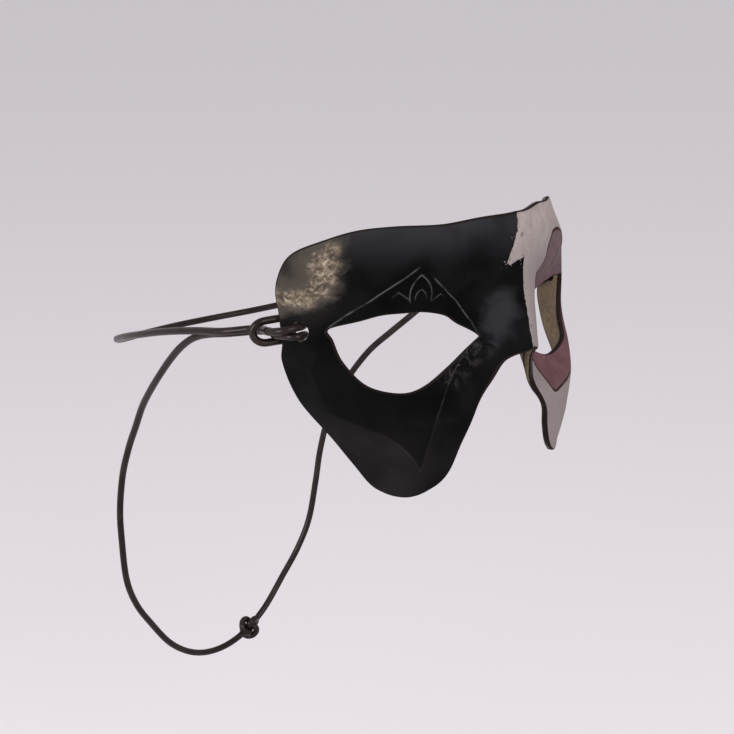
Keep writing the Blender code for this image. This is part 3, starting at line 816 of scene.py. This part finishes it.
# The wearer's left half is painted cream, with a maroon lozenge that a dark brown line surrounds.
CREAM = (0.262, 0.222, 0.212)
PALE_CREAM = (0.315, 0.272, 0.262)
CREAM_STAIN = (0.225, 0.182, 0.168)
CREAM_PAINTED_SHADE = (0.178, 0.148, 0.148)
SPOT_BROWN = (0.08, 0.05, 0.04)
FLAW_BROWN = (0.05, 0.035, 0.032)
MAROON = (0.062, 0.031, 0.040)
TOP_MAROON = (0.120, 0.080, 0.087)
LOW_MAROON = (0.132, 0.066, 0.070)
MAROON_STAIN = (0.045, 0.022, 0.028)
OUTLINE_BROWN = (0.028, 0.015, 0.012)
cream = tint(tree, fade(tree, middling, 0.3, 0.7), CREAM, PALE_CREAM)
cream = tint(tree, fade(tree, broad, 0.4, 0.8, 0, 0.5), cream, CREAM_STAIN)
# Painted shade: the cream darkens towards the bottom, where less of the light from above falls.
cream = tint(tree, fade(tree, up, 0.034, 0.014, 0, 0.75), cream, CREAM_PAINTED_SHADE)
spots = fade(tree, noise_of(tree, place, 420, 2), 0.7, 0.76)
cream = tint(tree, maths(tree, "MULTIPLY", spots, 0.7), cream, SPOT_BROWN)
cream = tint(tree, fade(tree, known(tree, "flaw"), 1.1, 0.3, 0, 0.85), cream, FLAW_BROWN)
maroon = tint(tree, fade(tree, up, -0.012, 0.014), MAROON, TOP_MAROON)
maroon = tint(tree, fade(tree, up, -0.016, -0.026, 0, 0.8), maroon, LOW_MAROON)
maroon = tint(tree, fade(tree, middling, 0.35, 0.7, 0, 0.4), maroon, MAROON_STAIN)
rough_depth = maths(tree, "ADD", depth, maths(tree, "MULTIPLY", maths(tree, "SUBTRACT", middling, 0.5), 0.7))
in_lozenge = fade(tree, rough_depth, -0.15, 0.15)
left_paint = tint(tree, in_lozenge, cream, maroon)
outline_share = maths(tree, "SUBTRACT", 1, fade(tree, maths(tree, "ABSOLUTE", rough_depth), 0.4, 0.75))
left_paint = tint(tree, outline_share, left_paint, OUTLINE_BROWN)

# The paint stops at a ragged parting line, with chips and missing flecks beside it, and the dark of
# the burnished edges comes a little way onto the front.
RIM_BROWN = (0.012, 0.008, 0.0075)
ragged = maths(tree, "MULTIPLY", maths(tree, "SUBTRACT", coarse_grain, 0.5), 1.1)
parted = fade(tree, maths(tree, "ADD", painted, ragged), -0.12, 0.12)
chip_noise = noise_of(tree, place, 640, 3, 1.2)
brushed = fade(tree, up, 0.017, 0.0185)
chips = maths(tree, "MULTIPLY", fade(tree, chip_noise, 0.66, 0.70), fade(tree, painted, -2.8, -0.6))
parted = maths(tree, "MAXIMUM", parted, maths(tree, "MULTIPLY", chips, brushed))
missing = maths(tree, "MULTIPLY", fade(tree, chip_noise, 0.36, 0.33), fade(tree, painted, 1.6, 0.3))
parted = maths(tree, "MULTIPLY", parted, maths(tree, "SUBTRACT", 1, missing))
colour = tint(tree, parted, black, left_paint)
rim_reach = maths(tree, "ADD", rim, maths(tree, "MULTIPLY", parted, 0.15))
colour = tint(tree, fade(tree, rim_reach, 1.0, 0.5), colour, RIM_BROWN)

# The fine relief is the grain, with dents in the patch, creases by the eye and the cut of the tool.
grain_relief = maths(tree, "MULTIPLY", fine, 0.035)
grain_relief = maths(tree, "ADD", grain_relief, maths(tree, "MULTIPLY", coarse_grain, 0.06))
dents = maths(tree, "MULTIPLY", maths(tree, "MULTIPLY", fade(tree, from_rub_and_reflection, 12, 2), crumple), 0.6)
grain_relief = maths(tree, "ADD", grain_relief, dents)
creases = fade(tree, creased, 7, 1, 0, 0.4)
grain_relief = maths(tree, "ADD", grain_relief, maths(tree, "MULTIPLY", creases, middling))
grain_relief = maths(tree, "SUBTRACT", grain_relief, maths(tree, "MULTIPLY", tooled_lines, 0.22))
grain_relief = maths(tree, "ADD", grain_relief, maths(tree, "MULTIPLY", parted, 0.05))
waxed = fade(tree, middling, 0.25, 0.75, 0.44, 0.60)
waxed = maths(tree, "ADD", waxed, maths(tree, "MULTIPLY", parted, 0.14))
finish_leather(tree, shader, colour, waxed, grain_relief)

# The inner side is the bare flesh side, with its nap, and the edges' dye has crept in round its rim. Its nap
# browns are set darker than bare tan leather, as painted shade for the inside of the mask.
NAP_BROWN = (0.086, 0.061, 0.040)
NAP_TAN = (0.140, 0.103, 0.070)
NAP_STAIN = (0.06, 0.044, 0.028)
CREPT_DYE = (0.018, 0.013, 0.010)
flesh_place = shader_node(flesh_tree, "Attribute", attribute_name="pattern").outputs["Vector"]
nap = noise_of(flesh_tree, flesh_place, 700, 6, 1.2)
stain = noise_of(flesh_tree, flesh_place, 70, 3)
flesh = tint(flesh_tree, fade(flesh_tree, nap, 0.3, 0.7), NAP_BROWN, NAP_TAN)
flesh = tint(flesh_tree, fade(flesh_tree, stain, 0.45, 0.75, 0, 0.6), flesh, NAP_STAIN)
dyed_in = fade(flesh_tree, known(flesh_tree, "rim"), 1.3, 0.3)
flesh = tint(flesh_tree, dyed_in, flesh, CREPT_DYE)
finish_leather(
    flesh_tree, flesh_shader, flesh, fade(flesh_tree, nap, 0.2, 0.8, 0.75, 0.92),
    maths(flesh_tree, "MULTIPLY", nap, 0.22),
)

# The cut edges are dyed dark and burnished.
EDGE_DARK = (0.006, 0.0045, 0.004)
EDGE_BROWN = (0.015, 0.010, 0.009)
edge_place = shader_node(edge_tree, "Attribute", attribute_name="pattern").outputs["Vector"]
edge_grain = noise_of(edge_tree, edge_place, 900, 4)
edge_wear = fade(edge_tree, edge_grain, 0.3, 0.7)
edge_dye = tint(edge_tree, edge_wear, EDGE_DARK, EDGE_BROWN)
finish_leather(
    edge_tree, edge_shader, edge_dye, fade(edge_tree, edge_grain, 0.2, 0.8, 0.3, 0.48),
    maths(edge_tree, "MULTIPLY", edge_grain, 0.08),
)

# The walls of the punched holes show the leather's pale, fibrous core.
CORE_TAN = (0.22, 0.18, 0.15)
CORE_PALE = (0.46, 0.41, 0.37)
core_place = shader_node(core_tree, "TexCoord").outputs["Object"]
fibres = noise_of(core_tree, core_place, 1400, 5)
core = tint(core_tree, fade(core_tree, fibres, 0.3, 0.7), CORE_TAN, CORE_PALE)
finish_leather(
    core_tree, core_shader, core, fade(core_tree, fibres, 0.2, 0.8, 0.7, 0.9),
    maths(core_tree, "MULTIPLY", fibres, 0.12),
)
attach(leather, "root")
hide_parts("mask_shell")


# The studio is a wide floor of matt, pale lavender-grey paint below the mask and its cord, under an
# even pale sky. One large soft light stands to the wearer's right and another in front.
FLOOR_SIZE = 12
FLOOR_HEIGHT = -0.30
FLOOR_GREY = (0.72, 0.69, 0.712, 1)
SKY_GREY = (0.95, 0.93, 0.96, 1)
SKY_STRENGTH = 0.82
LIT_PLACE = Vector((0, 0.03, -0.02))
bpy.ops.mesh.primitive_plane_add(size=FLOOR_SIZE, location=(0, 0, FLOOR_HEIGHT))
floor = bpy.context.object
floor.name = "floor"
floor_paint = bpy.data.materials.new("floor_paint")
floor_paint.use_nodes = True
floor_shader = floor_paint.node_tree.nodes["Principled BSDF"]
floor_shader.inputs["Base Color"].default_value = FLOOR_GREY
floor_shader.inputs["Roughness"].default_value = 0.9
floor.data.materials.append(floor_paint)

world = bpy.data.worlds.new("studio")
bpy.context.scene.world = world
world.use_nodes = True
sky = world.node_tree.nodes["Background"]
sky.inputs["Color"].default_value = SKY_GREY
sky.inputs["Strength"].default_value = SKY_STRENGTH

for name, place, power, size in (
    ("side_window", (-1.6, 0.15, 0.25), 22, 0.9),
    ("front_soft", (-0.25, -1.5, 0.55), 16, 1.0),
):
    bpy.ops.object.light_add(type="AREA", location=place)
    light = bpy.context.object
    light.name = name
    light.data.energy = power
    light.data.size = size
    light.rotation_euler = (LIT_PLACE - light.location).to_track_quat("-Z", "Y").to_euler()

bpy.context.view_layer.update()
